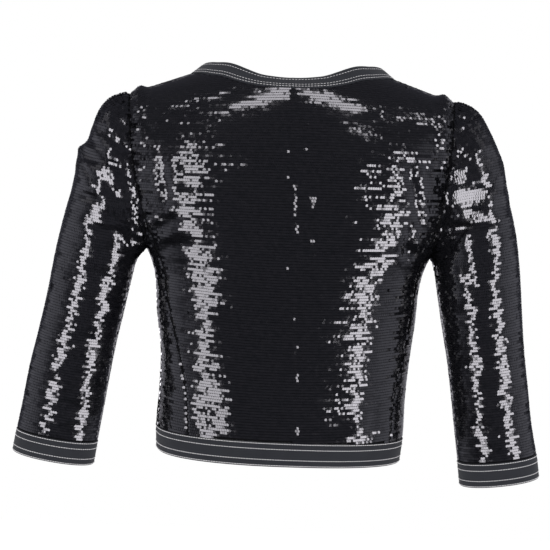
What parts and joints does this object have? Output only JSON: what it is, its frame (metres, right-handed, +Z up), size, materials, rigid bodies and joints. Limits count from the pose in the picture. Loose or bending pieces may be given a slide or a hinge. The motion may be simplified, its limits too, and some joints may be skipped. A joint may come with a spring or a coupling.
{
  "type": "cropped blazer",
  "caption": "Cropped collarless jacket of sequinned cloth with gathered three-quarter sleeves and topstitched bands at neck, front, hem and cuffs, filled out as worn.",
  "frame": {"origin": "midway between the two shoulder tips, at their height, where the wearer's shoulders carry the jacket", "axes": "+X the wearer's left, -Y the front, +Z up"},
  "size_m": [0.6326, 0.2249, 0.4953],
  "materials": {
    "sequinned_cloth": "black woven ground",
    "sequins": "glossy black",
    "band_twill": "charcoal twill",
    "topstitch_thread": "off-white thread"
  },
  "bodies": {
    "root": {"back_left": "sequinned_cloth", "back_right": "sequinned_cloth", "side_back_left": "sequinned_cloth", "side_back_right": "sequinned_cloth", "front_left": "sequinned_cloth", "front_right": "sequinned_cloth", "sleeve_left": "sequinned_cloth", "sleeve_right": "sequinned_cloth", "front_band_left": "band_twill", "front_band_right": "band_twill", "cuff_band_left": "band_twill", "cuff_band_right": "band_twill", "hem_band": "band_twill", "neck_band": "band_twill"}
  },
  "joints": []
}
